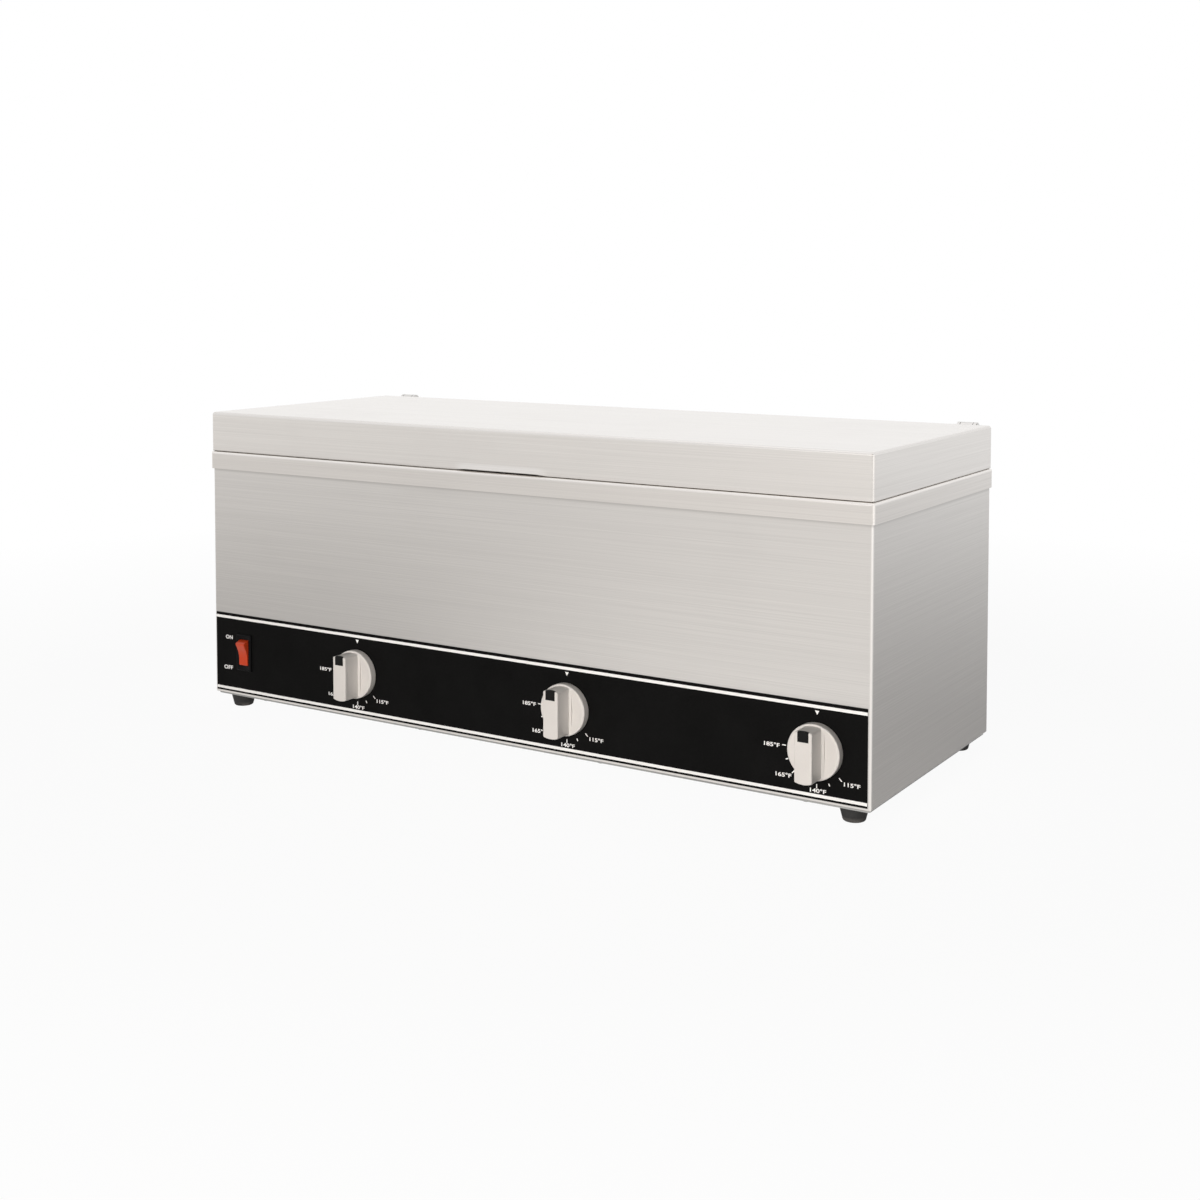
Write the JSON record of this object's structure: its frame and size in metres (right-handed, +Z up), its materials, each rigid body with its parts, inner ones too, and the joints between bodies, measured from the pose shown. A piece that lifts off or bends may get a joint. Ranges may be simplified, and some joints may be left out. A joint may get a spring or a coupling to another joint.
{
  "type": "sauce warmer",
  "caption": "Countertop sauce warmer: long stainless box with heated wells and pans under a flat hinged lid, black control strip with dial knobs and a red rocker switch.",
  "frame": {"origin": "on the floor under the feet, at the middle of the overall box", "axes": "+X along the long side to the right as seen from the front, +Y to the rear, +Z up"},
  "size_m": [0.6096, 0.2678, 0.255],
  "materials": {
    "casing_steel": "fine brushed stainless sheet",
    "base_steel": "plain galvanised sheet",
    "lid_steel": "fine brushed stainless sheet",
    "well_steel": "mill finish stainless",
    "pan_steel": "satin drawn stainless",
    "overlay_black": "satin black printed film with white lines",
    "heater_alloy": "as cast",
    "sensor_copper": "drawn copper",
    "thermostat_case": "moulded phenolic",
    "spindle_brass": "turned brass",
    "knob_grey": "satin light grey moulding",
    "pointer_black": "black inset",
    "screw_steel": "zinc plated",
    "switch_black": "black moulding",
    "rocker_red": "red translucent moulding",
    "foot_rubber": "black moulded rubber",
    "bumper_silicone": "grey silicone",
    "hinge_steel": "dark plated steel",
    "gland_black": "black nylon",
    "terminal_ivory": "ivory moulding"
  },
  "bodies": {
    "casing": {"body_wrap": "casing_steel", "rear_panel": "casing_steel", "top_deck": "casing_steel", "base_plate": "base_steel", "control_overlay": "overlay_black", "well_left": "well_steel", "pan_left": "pan_steel", "heater_left": "heater_alloy", "sensor_left": "sensor_copper", "thermostat_left": "thermostat_case", "well_middle": "well_steel", "pan_middle": "pan_steel", "heater_middle": "heater_alloy", "sensor_middle": "sensor_copper", "thermostat_middle": "thermostat_case", "well_right": "well_steel", "pan_right": "pan_steel", "heater_right": "heater_alloy", "sensor_right": "sensor_copper", "thermostat_right": "thermostat_case", "heater_nuts": "screw_steel", "thermostat_nuts": "screw_steel", "foot_screws": "screw_steel", "foot_nuts": "screw_steel", "base_screws": "screw_steel", "panel_screws": "screw_steel", "hinge_screws": "screw_steel", "hinge_pin_left": "screw_steel", "hinge_pin_right": "screw_steel", "switch_case": "switch_black", "foot_front_left": "foot_rubber", "foot_front_right": "foot_rubber", "foot_rear_left": "foot_rubber", "foot_rear_right": "foot_rubber", "hinge_bracket_left": "hinge_steel", "hinge_bracket_right": "hinge_steel", "cord_gland": "gland_black", "gland_locknut": "gland_black", "terminal_block": "terminal_ivory"},
    "lid": {"lid_shell": "lid_steel", "lid_bumpers": "bumper_silicone", "hinge_lug_left": "hinge_steel", "hinge_lug_right": "hinge_steel"},
    "rocker": {"rocker": "rocker_red"},
    "knob_left": {"knob_left": "knob_grey", "pointer_left": "pointer_black", "spindle_left": "spindle_brass"},
    "knob_middle": {"knob_middle": "knob_grey", "pointer_middle": "pointer_black", "spindle_middle": "spindle_brass"},
    "knob_right": {"knob_right": "knob_grey", "pointer_right": "pointer_black", "spindle_right": "spindle_brass"}
  },
  "joints": [
    {"name": "lid_hinge", "type": "hinge", "parent": "casing", "child": "lid", "pos_m": [0, 0.12895, 0.25], "axis": [-1, 0, 0], "range_deg": [0, 100]},
    {"name": "knob_left_turn", "type": "hinge", "parent": "casing", "child": "knob_left", "pos_m": [-0.143, -0.11105, 0.0485], "axis": [0, 1, 0], "range_deg": [0, 270]},
    {"name": "knob_middle_turn", "type": "hinge", "parent": "casing", "child": "knob_middle", "pos_m": [0.0605, -0.11105, 0.0485], "axis": [0, 1, 0], "range_deg": [0, 270]},
    {"name": "knob_right_turn", "type": "hinge", "parent": "casing", "child": "knob_right", "pos_m": [0.264, -0.11105, 0.0485], "axis": [0, 1, 0], "range_deg": [0, 270]},
    {"name": "rocker_tip", "type": "hinge", "parent": "casing", "child": "rocker", "pos_m": [-0.268, -0.11105, 0.05], "axis": [-1, 0, 0], "range_deg": [0, 26]}
  ]
}
